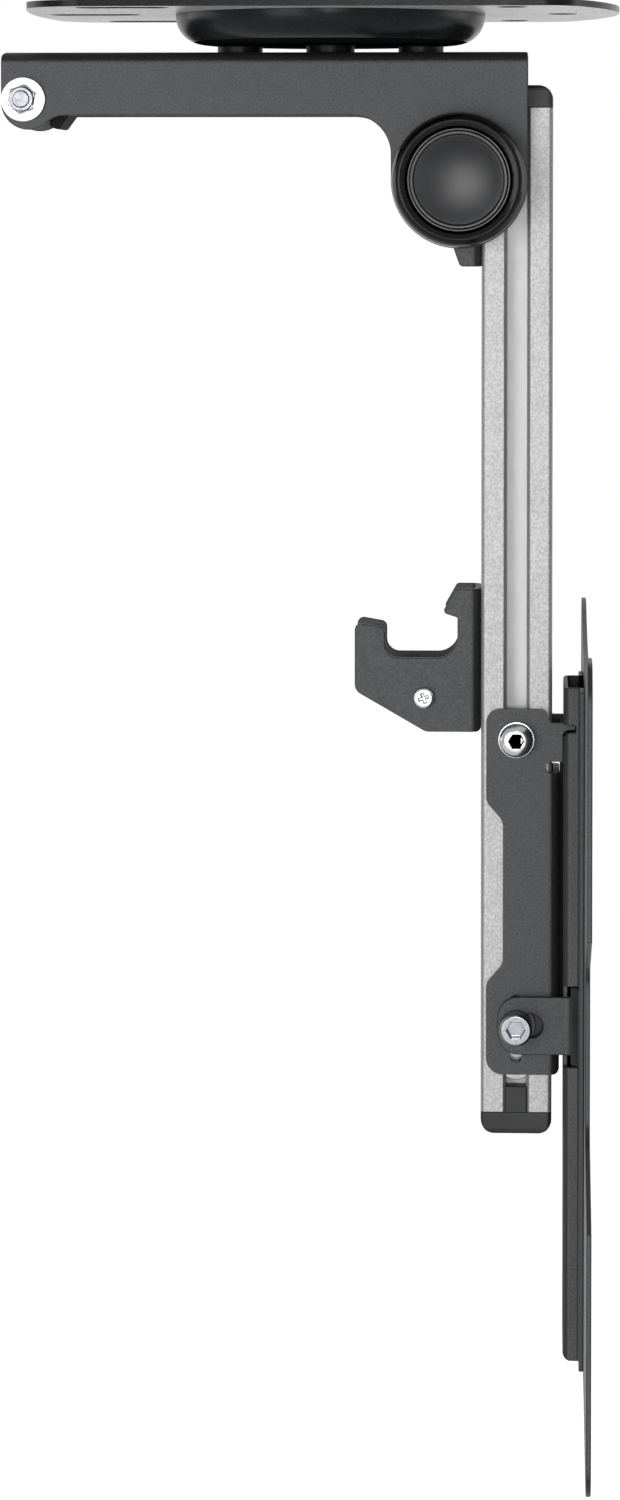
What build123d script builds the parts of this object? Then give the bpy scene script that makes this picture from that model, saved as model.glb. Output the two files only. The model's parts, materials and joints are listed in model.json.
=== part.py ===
from build123d import *
import os
from math import asin, degrees

# Folding ceiling mount for a flat television.
# Millimetres. +Z is up, +X points to the television side, -Y is the near side.
# The origin is where the swivel axis meets the top face of the ceiling plate.

# Ceiling plate: one pressed sheet with a round dome
ceiling_sheet = 2.0
ceiling_left = 92.6
ceiling_right = 89.5
ceiling_depth = 119.0
ceiling_left_radius = 300.0
ceiling_right_radius = 115.0
ceiling_left_corner = 19.0
ceiling_right_corner = 12.0
dome_diameter = 96.0
dome_depth = 11.4
dome_rim_radius = 9.0
ceiling_hole = 9.0
ceiling_hole_x = 56.7
ceiling_centre_hole_x = 72.0
ceiling_hole_spacing = 98.0
ceiling_slot = 28.0
ceiling_slot_x = 60.0
ceiling_centre_slot_x = 73.0

# Swivel between the dome and the arm
swivel_gap = 2.7
swivel_thread = 10.0
swivel_head_width = 17.0
swivel_head_height = 6.4
swivel_nut_height = 8.0
swivel_washer = 20.0
swivel_washer_thickness = 2.0
bush_diameter = 15.0
bush_spigot = 12.0
glide_diameter = 14.0
glide_stem = 6.0
glide_stem_length = 4.0
glide_offset = 28.1

# Arm: one folded channel, open at the bottom
arm_sheet = 2.5
arm_width = 32.0
arm_bend = 3.8
arm_front = 100.8
arm_rear = 61.3
arm_side_height = 19.4
arm_front_corner = 1.6
arm_rear_corner = 0.7
lobe_fillet = 12.0
ear_radius = 8.5
ear_drop = 4.4
ear_fillet = 8.0

# Fold hinge
hinge_x = 40.3
hinge_drop = 39.3
hinge_thread = 8.0
hinge_head_width = 13.0
hinge_head_height = 5.3
hinge_nut_height = 5.5
hinge_washer = 24.0
hinge_washer_thickness = 1.6
friction_disc = 30.0
hinge_sheet = 2.0
hinge_bracket_width = 25.0
hinge_lobe_radius = 17.0
hinge_bracket_top = 19.5
hinge_bracket_bottom = 26.6
hinge_bend = 3.0
hinge_foot_reach = 8.6
hinge_foot_taper = 2.0
hinge_foot_rise = 5.6
hinge_throat = 4.0
hinge_screw_up = 12.4
hinge_screw_down = 16.6

# Round covers over the hinge bolt
cover_diameter = 41.3
cover_height = 10.0
cover_shoulder = 4.6
cover_bore = 30.0
cover_groove_width = 0.9
cover_groove_depth = 2.6
cover_ring_width = 1.1
cover_wall = 1.4
cap_disc_diameter = 27.4
cap_crown = 0.9

# Column: slotted aluminium extrusion with plastic end caps
column_width = 22.0
column_corner = 1.5
column_offset = 6.8
column_top_drop = 31.1
column_length = 311.3
groove_mouth = 8.1
groove_width = 6.2
groove_lip = 1.8
groove_space = 12.0
groove_step = 3.1
groove_depth = 6.0
column_bore = 5.0
end_cap_height = 6.9
end_cap_round = 4.6
end_cap_side_round = 1.4
tongue_length = 8.0

# Catch hook on the column
catch_sheet = 2.0
catch_width = 22.0
catch_bend = 3.4
catch_bottom_drop = 192.9
catch_height = 44.4
catch_reach = 39.1
catch_post_height = 33.9
catch_post_width = 9.3
catch_neck = 7.3
catch_floor = 23.0
catch_post_fall = 1.6
catch_tooth = 4.7
catch_tooth_root = 8.9
catch_tooth_tip = 7.4
catch_tooth_lead = 0.5
catch_slope_end = 17.1
catch_slope_rise = 12.7
cross_screw_reach = 17.7
cross_screw_rise = 10.6
cross_screw = 4.0
cross_head = 6.6
cross_head_height = 1.8
cross_recess = 3.2
cross_recess_width = 0.8
cross_nut_width = 7.0
cross_nut_height = 3.2
cross_sleeve = 7.0
catch_screw_low = 9.0
catch_screw_high = 35.5

# Front bolt and latch lever
front_bolt_in = 6.9
front_bolt_drop = 14.5
front_thread = 5.0
button_head = 9.5
button_height = 2.75
button_socket = 3.0
slot_nut_length = 10.0
front_head_width = 8.0
front_head_height = 3.5
front_nut_height = 5.0
front_washer = 13.7
front_washer_thickness = 1.0
lever_hub_radius = 6.0
lever_hub_width = 17.0
lever_nose_width = 24.0
lever_nose_start = 6.6
lever_nose_reach = 16.2
lever_nose_top = 1.4
lever_tip_reach = 10.4
lever_tip_drop = 9.4
lever_heel_reach = 7.8
lever_heel_drop = 8.2
lever_neck_reach = 9.0
lever_neck_drop = 5.4

# Television bracket that rides on the column
bracket_sheet = 2.0
bracket_gap = 0.3
bracket_bend = 3.5
bracket_bottom_rise = 12.2
bracket_height = 113.6
bracket_lap = 20.3
bracket_waist = 5.2
bracket_waist_top = 28.8
bracket_waist_bottom = 28.3
bracket_waist_slope = 5.9
bracket_top_corner = 4.2
bracket_bottom_corner = 5.2
bracket_back_corner = 1.8
bracket_shoulder = 4.4
bracket_shoulder_in = 4.5
bracket_shoulder_slope = 1.6
bracket_ear = 0.9
bracket_ear_height = 16.2
finger_reach = 3.8
finger_height = 1.9
finger_fillet = 1.8
relief_height = 3.7
relief_length = 5.6
clamp_thread = 6.0
upper_clamp_down = 9.4
upper_head = 10.5
upper_head_height = 3.6
upper_socket = 4.0
upper_washer = 11.3
upper_washer_thickness = 1.2
lower_clamp_rise = 15.8
lower_head = 10.0
lower_head_height = 6.0
lower_socket = 5.0
lower_spacer = 12.0
lower_washer = 10.0
lower_washer_thickness = 1.6
screw_overrun = 3.3
tie_slot_width = 4.0
tie_slot_length = 21.2
tie_slot_rise = 14.3
clamp_bar_above = 7.0
clamp_bar_overhang = 2.4
pad_width = 18.0
pad_top_gap = 2.0

# Hook-on spine and television plate
spine_sheet = 1.5
spine_gap = 1.2
spine_width = 36.0
spine_depth = 6.4
spine_foot = 12.0
spine_bend = 2.2
spine_above = 7.2
spine_length = 209.0
tab_gap = 1.7
tab_height = 18.0
tab_reach = 5.7
tab_bend = 4.5
tab_end_radius = 6.5
tab_root = 2.4
tab_root_gap = 0.35
tab_slot_height = 7.2
tab_slot_travel = 4.7
window_margin = 3.5
notch_gap = 0.3
notch_round = 2.6
plate_sheet = 1.5
plate_width = 224.0
plate_height = 242.5
plate_corner = 12.0
plate_top_above = 24.1
plate_edge_dip = 11.0
plate_edge_chord = 176.0
plate_side_notch = 84.0
plate_side_floor = 50.0
plate_side_depth = 50.0
plate_side_fillet = 8.0
plate_hole = 5.4
vesa_patterns = [(200.0, 200.0), (200.0, 100.0), (100.0, 100.0), (75.0, 75.0)]

# Fits
running_gap = 0.05
thread_gap = 0.2
slide_gap = 0.1
nut_side_gap = 0.6

# Shared levels and faces worked out from the sizes above
arm_top = -dome_depth - swivel_gap
arm_half = arm_width / 2
arm_inner = arm_half - arm_sheet
web_bottom = arm_top - arm_sheet
arm_side_bottom = arm_top - arm_side_height
hinge_z = arm_top - hinge_drop
lobe_radius = arm_rear - hinge_x
column_left = hinge_x + column_offset
column_half = column_width / 2
column_x = column_left + column_half
column_right = column_left + column_width
column_top = -column_top_drop
column_bottom = column_top - column_length
catch_bottom = column_top - catch_bottom_drop
front_x = front_bolt_in - arm_front
front_z = arm_top - front_bolt_drop
bracket_bottom = column_bottom + bracket_bottom_rise
bracket_top = bracket_bottom + bracket_height
bracket_left = column_right - bracket_lap
web_in = column_right + bracket_gap
web_out = web_in + bracket_sheet
flange_in = column_half + bracket_gap
flange_out = flange_in + bracket_sheet
upper_clamp_z = bracket_top - upper_clamp_down
lower_clamp_z = bracket_bottom + lower_clamp_rise
tie_slot_z = bracket_bottom + tie_slot_rise
finger_top = bracket_top - bracket_shoulder
spine_face = web_out + spine_gap
foot_back = spine_face + spine_depth - spine_sheet
plate_back = spine_face + spine_depth
plate_front = plate_back + plate_sheet
spine_top = bracket_top + spine_above
spine_bottom = spine_top - spine_length
plate_z = bracket_top + plate_top_above - plate_height / 2
tab_in = flange_out + tab_gap
tab_out = tab_in + spine_sheet


def outline(*corners):
    """Closed outline through (x, y, corner radius) points."""
    path = FilletPolyline(
        *[(x, y) for x, y, _ in corners],
        radius=[radius for _, _, radius in corners],
        close=True,
    )
    return make_face(path)


def across(sketch, y_low, y_high):
    """Solid from a sketch drawn in X and Z, between two planes across Y."""
    return extrude(Plane.XZ.offset(-y_high) * sketch, y_high - y_low)


def upright(sketch, z_low, z_high):
    """Solid from a sketch drawn in X and Y, between two levels."""
    return extrude(Pos(0, 0, z_low) * sketch, z_high - z_low)


def lengthwise(sketch, x_low, x_high):
    """Solid from a sketch drawn in Y and Z, between two planes across X."""
    return extrude(Plane.YZ.offset(x_low) * sketch, x_high - x_low)


def hexagon(width):
    return RegularPolygon(width / 2, 6, major_radius=False)


def washer(outside, inside, thickness):
    """Ring that lies on the plane z = 0."""
    return upright(Circle(outside / 2) - Circle(inside / 2), 0, thickness)


def hex_bolt(thread, width, height, length):
    """Head above z = 0, plain shank below."""
    head = upright(hexagon(width), 0, height)
    dish = Cone(width * 0.75, width / 2 - 0.4, height / 3, align=(Align.CENTER, Align.CENTER, Align.MIN))
    crown = upright(Circle(width), 0, height * 2 / 3) + Pos(0, 0, height * 2 / 3) * dish
    return (head & crown) + upright(Circle(thread / 2), -length, 0)


def lock_nut(thread, width, height):
    """Hex nut with a round collar for its nylon ring, on the plane z = 0."""
    collar = height * 0.3
    body = upright(hexagon(width), 0, height - collar) + upright(Circle(width * 0.46), 0, height)
    return body - upright(Circle(thread / 2), 0, height)


def button_screw(thread, length, head_width, head_height, socket):
    """Low domed head above z = 0 with a hex socket, shank below."""
    head = upright(Circle(head_width / 2), 0, head_height)
    head = fillet(head.edges().filter_by(GeomType.CIRCLE).sort_by(Axis.Z)[-1], head_height * 0.75)
    head -= upright(hexagon(socket), head_height * 0.35, head_height)
    return head + upright(Circle(thread / 2), -length, 0)


def cap_screw(thread, length, head_width, head_height, socket):
    """Tall round head above z = 0 with a hex socket, shank below."""
    head = upright(Circle(head_width / 2), 0, head_height)
    head = chamfer(head.edges().filter_by(GeomType.CIRCLE).sort_by(Axis.Z)[-1], 0.6)
    head -= upright(hexagon(socket), head_height * 0.45, head_height)
    return head + upright(Circle(thread / 2), -length, 0)


def on_side(side, x, z, distance):
    """Frame on one side of the mount: side -1 is near, +1 is far; its z points outwards."""
    return Plane(origin=(x, side * distance, z), x_dir=(1, 0, 0), z_dir=(0, side, 0))


def both_sides(part, x, z, distance):
    """The same piece on the near and the far side."""
    return on_side(-1, x, z, distance) * part + on_side(1, x, z, distance) * part


def on_column_face(z, distance=0.0):
    """Frame on the column's left face, with its z pointing away from the column."""
    return Plane(origin=(column_left - distance, 0, z), x_dir=(0, 1, 0), z_dir=(-1, 0, 0))


def ceiling_outline():
    """Bar with a nearly straight left end, a bowed right end and round corners."""
    left_end = Pos(ceiling_left_radius - ceiling_left, 0) * Circle(ceiling_left_radius)
    right_end = Pos(ceiling_right - ceiling_right_radius, 0) * Circle(ceiling_right_radius)
    shape = left_end & right_end & Rectangle(3 * ceiling_left, ceiling_depth)
    corners = [v for v in shape.vertices() if abs(v.Y) > ceiling_depth / 2 - 1]
    shape = fillet([v for v in corners if v.X < 0], ceiling_left_corner)
    corners = [v for v in shape.vertices() if abs(v.Y) > ceiling_depth / 2 - 1]
    return fillet(sorted(corners, key=lambda v: v.X)[-2:], ceiling_right_corner)


def dome_profile(radius, rim, top, bottom):
    """Half section of the dome: a flat floor that curves up into a straight wall."""
    floor_end = radius - rim
    path = (
        Line((0, top), (0, bottom))
        + Line((0, bottom), (floor_end, bottom))
        + CenterArc((floor_end, bottom + rim), rim, -90, 90)
        + Line((radius, bottom + rim), (radius, top))
        + Line((radius, top), (0, top))
    )
    return make_face(Plane.XZ * path)


def ceiling_plate():
    outer = dome_diameter / 2
    plate = upright(ceiling_outline(), -ceiling_sheet, 0)
    plate += revolve(dome_profile(outer, dome_rim_radius, -ceiling_sheet, -dome_depth))
    inner_floor = ceiling_sheet - dome_depth
    plate -= revolve(
        dome_profile(outer - ceiling_sheet, dome_rim_radius - ceiling_sheet, 0, inner_floor)
    )
    rim = [e for e in plate.edges().filter_by(GeomType.CIRCLE)
           if abs(e.radius - outer + ceiling_sheet) < 0.01 and abs(e.center().Z) < 0.01]
    plate = fillet(rim, ceiling_sheet * 0.6)
    half = ceiling_hole_spacing / 2
    round_hole = Circle(ceiling_hole / 2)
    slot = SlotOverall(ceiling_slot, ceiling_hole)
    cuts = Pos(ceiling_centre_hole_x, 0) * round_hole + Pos(-ceiling_centre_slot_x, 0) * slot
    for side in (-1, 1):
        cuts += Pos(ceiling_hole_x, side * half) * round_hole
        cuts += Pos(-ceiling_slot_x, side * half) * slot
    cuts += Circle(swivel_thread / 2 + thread_gap)
    return plate - upright(cuts, -dome_depth - 1, 1)


def swivel_parts():
    """Fixed pivot bolt with its washers and lock nut, and the parts that turn with the arm."""
    floor = ceiling_sheet - dome_depth
    nut_top = web_bottom - running_gap - swivel_washer_thickness
    ring = washer(swivel_washer, swivel_thread, swivel_washer_thickness)
    washers = Pos(0, 0, floor) * ring + Pos(0, 0, nut_top) * ring
    head_seat = floor + swivel_washer_thickness
    length = head_seat - nut_top + swivel_nut_height + 1
    bolt = Pos(0, 0, head_seat) * hex_bolt(
        swivel_thread, swivel_head_width, swivel_head_height, length
    )
    nut = Pos(0, 0, nut_top) * Rot(180, 0, 0) * lock_nut(
        swivel_thread, swivel_head_width, swivel_nut_height
    )
    bore = Circle(swivel_thread / 2 + running_gap)
    bush_top = -dome_depth - running_gap
    bush = upright(Circle(bush_diameter / 2) - bore, arm_top, bush_top)
    bush += upright(Circle(bush_spigot / 2) - bore, web_bottom, arm_top)
    pad = fillet(
        upright(Circle(glide_diameter / 2), arm_top, bush_top).edges().group_by(Axis.Z)[-1], 0.8
    )
    pad += upright(Circle(glide_stem / 2), arm_top - glide_stem_length, arm_top)
    glides = Pos(-glide_offset, 0, 0) * pad + Pos(glide_offset, 0, 0) * pad
    return {
        "swivel_bolt": bolt,
        "swivel_nut": nut,
        "swivel_washers": washers,
        "swivel_bush": bush,
        "swivel_glides": glides,
    }


def arm_outline():
    """Side of the arm: a long bar, an ear round the front bolt and a lobe round the hinge."""
    ear_x = ear_radius - arm_front
    ear_z = arm_side_bottom - ear_drop + ear_radius
    bar = Pos((ear_x + arm_rear) / 2, (arm_top + arm_side_bottom) / 2) * Rectangle(
        arm_rear - ear_x, arm_side_height
    )
    head = Pos((ear_x - arm_front) / 2, (arm_top + ear_z) / 2) * Rectangle(
        ear_radius, arm_top - ear_z
    )
    lobe = Pos(hinge_x, (arm_top + hinge_z) / 2) * Rectangle(2 * lobe_radius, arm_top - hinge_z)
    shape = bar + head + lobe
    shape += Pos(ear_x, ear_z) * Circle(ear_radius)
    shape += Pos(hinge_x, hinge_z) * Circle(lobe_radius)
    inner = [v for v in shape.vertices() if abs(v.Y - arm_side_bottom) < 0.01]
    inner = sorted(inner, key=lambda v: v.X)
    shape = fillet(inner[-1], lobe_fillet)
    inner = [v for v in shape.vertices() if abs(v.Y - arm_side_bottom) < 0.01]
    inner = sorted(inner, key=lambda v: v.X)
    shape = fillet(inner[0], ear_fillet)
    tops = [v for v in shape.vertices() if abs(v.Y - arm_top) < 0.01]
    shape = fillet([v for v in tops if v.X > arm_rear - 1], arm_rear_corner)
    tops = [v for v in shape.vertices() if abs(v.Y - arm_top) < 0.01]
    return fillet([v for v in tops if v.X < 1 - arm_front], arm_front_corner)


def arm_channel():
    low = hinge_z - lobe_radius - 1
    outer = outline(
        (-arm_half, low, 0), (-arm_half, arm_top, arm_bend),
        (arm_half, arm_top, arm_bend), (arm_half, low, 0),
    )
    bend_in = arm_bend - arm_sheet
    inner = outline(
        (-arm_inner, low - 1, 0), (-arm_inner, web_bottom, bend_in),
        (arm_inner, web_bottom, bend_in), (arm_inner, low - 1, 0),
    )
    channel = lengthwise(outer - inner, -arm_front - 1, arm_rear + 1)
    channel &= across(arm_outline(), -arm_width, arm_width)
    holes = Pos(hinge_x, hinge_z) * Circle(hinge_thread / 2 + thread_gap)
    holes += Pos(front_x, front_z) * Circle(front_thread / 2 + thread_gap)
    channel -= across(holes, -arm_width, arm_width)
    web_holes = Circle(bush_spigot / 2) + Pos(glide_offset, 0) * Circle(glide_stem / 2)
    web_holes += Pos(-glide_offset, 0) * Circle(glide_stem / 2)
    return channel - upright(web_holes, web_bottom - 1, arm_top + 1)


def front_parts():
    """Bolt across the front of the arm, with its washers and lock nut."""
    ring = washer(front_washer, front_thread, front_washer_thickness)
    seat = arm_half + front_washer_thickness
    bolt = on_side(1, front_x, front_z, seat) * hex_bolt(
        front_thread, front_head_width, front_head_height, 2 * seat + front_nut_height + 0.6
    )
    nut = on_side(-1, front_x, front_z, seat) * Rot(0, 0, 19) * lock_nut(
        front_thread, front_head_width, front_nut_height
    )
    return {
        "front_bolt": bolt,
        "front_nut": nut,
        "front_washers": both_sides(ring, front_x, front_z, arm_half),
    }


def latch_lever():
    """Small lever on the front bolt: a narrow hub and a wider slanted nose."""
    hub = Circle(lever_hub_radius)
    nose = outline(
        (lever_nose_start, -lever_nose_top, 0.8),
        (lever_nose_reach, -lever_nose_top, 1.6),
        (lever_tip_reach, -lever_tip_drop, 1.4),
        (lever_heel_reach, -lever_heel_drop, 1.0),
    )
    neck = outline(
        (0, -lever_nose_top, 0), (lever_neck_reach, -lever_nose_top - 0.8, 0),
        (lever_neck_reach, -lever_neck_drop, 0), (0, -lever_neck_drop, 0),
    )
    half = lever_hub_width / 2
    lever = across(Pos(front_x, front_z) * (hub + neck), -half, half)
    half = lever_nose_width / 2
    lever += across(Pos(front_x, front_z) * nose, -half, half)
    hole = Pos(front_x, front_z) * Circle(front_thread / 2 + running_gap)
    return lever - across(hole, -arm_width, arm_width)


def cover_profile():
    """Half section of the ring: straight shoulder, rounded crown and a groove inside it."""
    outer = cover_diameter / 2
    crown_in = cover_bore / 2 + cover_groove_width
    crown_top = cover_height
    crown_mid = (outer + crown_in) / 2 - 0.3
    groove_floor = crown_top - cover_groove_depth
    path = (
        Line((cover_bore / 2, 0), (outer, 0))
        + Line((outer, 0), (outer, cover_shoulder))
        + EllipticalCenterArc(
            (crown_mid, cover_shoulder), outer - crown_mid, crown_top - cover_shoulder,
            start_angle=0, arc_size=90,
        )
        + Line((crown_mid, crown_top), (crown_in + 0.6, crown_top - 0.5))
        + Line((crown_in + 0.6, crown_top - 0.5), (crown_in, groove_floor))
        + Line((crown_in, groove_floor), (cover_bore / 2, groove_floor))
        + Line((cover_bore / 2, groove_floor), (cover_bore / 2, 0))
    )
    return make_face(Plane.XZ * path)


def cap_profile():
    """Half section of the cap: hollow skirt, thin front ring and a domed disc inside it."""
    outer = cover_bore / 2
    disc = cap_disc_diameter / 2
    ring_top = cover_height - 0.8
    face = ring_top - 0.5
    crown_radius = (disc**2 + cap_crown**2) / (2 * cap_crown)
    crown_angle = degrees(asin(disc / crown_radius))
    path = (
        Line((outer, 0), (outer, ring_top))
        + Line((outer, ring_top), (outer - cover_ring_width, ring_top))
        + Line((outer - cover_ring_width, ring_top), (disc, face))
        + CenterArc(
            (0, face + cap_crown - crown_radius), crown_radius, 90 - crown_angle, crown_angle
        )
        + Line((0, face + cap_crown), (0, face - cover_wall + cap_crown))
        + Line((0, face - cover_wall + cap_crown), (disc - cover_wall, face - cover_wall))
        + Line((disc - cover_wall, face - cover_wall), (outer - cover_wall, face - cover_wall))
        + Line((outer - cover_wall, face - cover_wall), (outer - cover_wall, 0))
        + Line((outer - cover_wall, 0), (outer, 0))
    )
    return make_face(Plane.XZ * path)


def hinge_parts():
    """Hinge bolt, its washers and nut, the friction discs and the two round covers."""
    bolt_seat = arm_half + hinge_washer_thickness
    bolt = on_side(1, hinge_x, hinge_z, bolt_seat) * hex_bolt(
        hinge_thread, hinge_head_width, hinge_head_height,
        2 * bolt_seat + hinge_nut_height + 0.2,
    )
    nut = on_side(-1, hinge_x, hinge_z, bolt_seat) * lock_nut(
        hinge_thread, hinge_head_width, hinge_nut_height
    )
    ring = washer(hinge_washer, hinge_thread, hinge_washer_thickness)
    bracket_half = hinge_bracket_width / 2
    disc = washer(friction_disc, hinge_thread, arm_inner - bracket_half - running_gap)
    ring_cover = revolve(cover_profile())
    cap = revolve(cap_profile())
    near = on_side(-1, hinge_x, hinge_z, arm_half)
    far = on_side(1, hinge_x, hinge_z, arm_half)
    return {
        "hinge_bolt": bolt,
        "hinge_nut": nut,
        "hinge_washers": both_sides(ring, hinge_x, hinge_z, arm_half),
        "friction_discs": both_sides(disc, hinge_x, hinge_z, bracket_half + running_gap),
        "near_cover_ring": near * ring_cover,
        "near_cover_cap": near * cap,
        "far_cover_ring": far * ring_cover,
        "far_cover_cap": far * cap,
    }


def groove_space_outline():
    """One groove of the column, drawn with its mouth at +Y of the section."""
    mouth, neck, space = groove_mouth / 2, groove_width / 2, groove_space / 2
    lip_bottom = column_half - groove_lip
    chamfer_depth = mouth - neck
    step_bottom = column_half - groove_step
    floor = column_half - groove_depth
    points = [
        (mouth, column_half + 1), (mouth, column_half), (neck, column_half - chamfer_depth),
        (neck, lip_bottom), (space, lip_bottom), (space, step_bottom), (neck, floor),
    ]
    mirrored = [(-x, y) for x, y in reversed(points)]
    return outline(*[(x, y, 0) for x, y in points + mirrored])


def column_profile():
    section = RectangleRounded(column_width, column_width, column_corner)
    for quarter in range(4):
        section -= Rot(0, 0, 90 * quarter) * groove_space_outline()
    section -= Circle(column_bore / 2)
    return upright(Pos(column_x, 0) * section, column_bottom, column_top)


def groove_bar(length, gap):
    """Nut bar behind the lips of the near groove, about the column's axis, centred on z = 0."""
    wing = groove_space / 2 - nut_side_gap
    keel = groove_width / 2 + nut_side_gap
    step = column_half - groove_step - gap - thread_gap
    points = [
        (wing, column_half - groove_lip - gap), (wing, step), (keel, step - wing + keel),
    ]
    mirrored = [(-x, y) for x, y in reversed(points)]
    section = outline(*[(x, -y, 0) for x, y in points + mirrored])
    return upright(section, -length / 2, length / 2)


def end_cap(level, direction):
    """Cap with rounded ends and two tongues that fill the near and far grooves."""
    outer = level + direction * end_cap_height
    half = column_half
    front = outline(
        (column_left, level, 0), (column_right, level, 0),
        (column_right, outer, end_cap_round), (column_left, outer, end_cap_round),
    )
    body = across(front, -half, half)
    side = outline(
        (-half, level, 0), (half, level, 0),
        (half, outer, end_cap_side_round), (-half, outer, end_cap_side_round),
    )
    body &= lengthwise(side, column_left, column_right)
    low, high = sorted((level, outer))
    body &= upright(
        Pos(column_x, 0) * RectangleRounded(column_width, column_width, column_corner), low, high
    )
    neck = groove_width / 2 - running_gap
    chamfer_depth = (groove_mouth - groove_width) / 2
    shelf = half - chamfer_depth / 2
    floor = half - groove_depth + running_gap
    lip = neck + chamfer_depth / 4
    tongue = outline(
        (-lip, half - running_gap, 0), (lip, half - running_gap, 0), (lip, shelf, 0),
        (neck, shelf, 0), (neck, floor, 0), (-neck, floor, 0), (-neck, shelf, 0), (-lip, shelf, 0),
    )
    both = tongue + mirror(tongue, about=Plane.XZ)
    low, high = sorted((level, level - direction * tongue_length))
    return body + upright(Pos(column_x, 0) * both, low, high)


def hinge_bracket():
    """Folded bracket: a web on the column and two lobed flanges to the hinge."""
    half = hinge_bracket_width / 2
    top = hinge_z + hinge_bracket_top
    bottom = hinge_z - hinge_bracket_bottom
    lobe = Pos(hinge_x, hinge_z) * Circle(hinge_lobe_radius)
    inside = hinge_lobe_radius * 0.9
    foot_left = column_left - hinge_foot_reach
    body = outline(
        (column_left, top, 0), (hinge_x, hinge_z + inside, 0), (hinge_x - inside / 2, hinge_z, 0),
        (hinge_x - hinge_throat, hinge_z - inside, 0),
        (foot_left, bottom + hinge_foot_rise, 1.0), (foot_left + hinge_foot_taper, bottom, 1.5),
        (column_left, bottom, 0),
    )
    left = hinge_x - hinge_lobe_radius - 1
    outer = outline(
        (left, -half, 0), (column_left, -half, hinge_bend),
        (column_left, half, hinge_bend), (left, half, 0),
    )
    inner_half, bend_in = half - hinge_sheet, hinge_bend - hinge_sheet
    web_face = column_left - hinge_sheet
    inner = outline(
        (left - 1, -inner_half, 0), (web_face, -inner_half, bend_in),
        (web_face, inner_half, bend_in), (left - 1, inner_half, 0),
    )
    bracket = across(lobe + body, -half, half) & upright(outer - inner, bottom - 1, top + 1)
    pivot = Pos(hinge_x, hinge_z) * Circle(hinge_thread / 2 + running_gap)
    bracket -= across(pivot, -half - 1, half + 1)
    for level in (hinge_z + hinge_screw_up, hinge_z - hinge_screw_down):
        bracket -= on_column_face(level) * Pos(0, 0, -1) * Cylinder(front_thread / 2, 9)
    return bracket


def face_screws(levels, sheet):
    """Button screws through a web on the column's left face, and their nuts in the groove."""
    length = sheet + groove_lip + screw_overrun
    screw = button_screw(front_thread, length, button_head, button_height, button_socket)
    nut = Rot(0, 0, -90) * groove_bar(slot_nut_length, 0)
    nut -= Pos(-column_half, 0, 0) * Rot(0, 90, 0) * Cylinder(front_thread / 2, column_width)
    screws = [on_column_face(level, sheet) * screw for level in levels]
    nuts = [Pos(column_x, 0, level) * nut for level in levels]
    return Compound(screws), Compound(nuts)


def catch_outline():
    """Side of the catch hook: post, notch, undercut tooth and sloping lower edge."""
    post_in = catch_reach - catch_post_width
    points = [
        (0, 0, 1.5), (catch_slope_end, 0, 4.0), (catch_reach, catch_slope_rise, 3.5),
        (catch_reach, catch_post_height, 2.0),
        (post_in, catch_post_height - catch_post_fall, 2.0),
        (post_in, catch_floor, 4.0), (catch_neck, catch_floor, 6.5),
        (catch_neck, catch_height - catch_tooth_root, 0.6),
        (catch_neck + catch_tooth, catch_height - catch_tooth_tip, 1.2),
        (catch_neck + catch_tooth_lead, catch_height, 1.2), (0, catch_height, 0),
    ]
    return outline(*[(column_left - reach, catch_bottom + rise, r) for reach, rise, r in points])


def catch_hook():
    half = catch_width / 2
    left = column_left - catch_reach - 1
    outer = outline(
        (left, -half, 0), (column_left, -half, catch_bend),
        (column_left, half, catch_bend), (left, half, 0),
    )
    inner_half, bend_in = half - catch_sheet, catch_bend - catch_sheet
    web_face = column_left - catch_sheet
    inner = outline(
        (left - 1, -inner_half, 0), (web_face, -inner_half, bend_in),
        (web_face, inner_half, bend_in), (left - 1, inner_half, 0),
    )
    section = upright(outer - inner, catch_bottom - 1, catch_bottom + catch_height + 1)
    hook = across(catch_outline(), -half, half) & section
    x, z = column_left - cross_screw_reach, catch_bottom + cross_screw_rise
    hook -= across(Pos(x, z) * Circle(cross_screw / 2 + thread_gap), -half - 1, half + 1)
    for rise in (catch_screw_low, catch_screw_high):
        hook -= on_column_face(catch_bottom + rise) * Pos(0, 0, -1) * Cylinder(front_thread / 2, 9)
    return hook


def catch_cross_parts():
    """Cross-recessed screw through both flanges, the sleeve between them and the far nut."""
    half = catch_width / 2
    x, z = column_left - cross_screw_reach, catch_bottom + cross_screw_rise
    head = upright(Circle(cross_head / 2), 0, cross_head_height)
    rim = head.edges().filter_by(GeomType.CIRCLE).sort_by(Axis.Z)[-1]
    head = fillet(rim, cross_head_height * 0.55)
    bar = Box(cross_recess, cross_recess_width, cross_head_height)
    head -= Pos(0, 0, cross_head_height) * (bar + Rot(0, 0, 90) * bar)
    tail = catch_width + cross_nut_height + 0.4
    screw = head + upright(Circle(cross_screw / 2), -tail, 0)
    sleeve = across(
        Pos(x, z) * (Circle(cross_sleeve / 2) - Circle(cross_screw / 2)),
        catch_sheet - half, half - catch_sheet,
    )
    return {
        "catch_cross_screw": on_side(-1, x, z, half) * Rot(0, 0, 20) * screw,
        "catch_sleeve": sleeve,
        "catch_cross_nut": on_side(1, x, z, half) * lock_nut(
            cross_screw, cross_nut_width, cross_nut_height
        ),
    }


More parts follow.
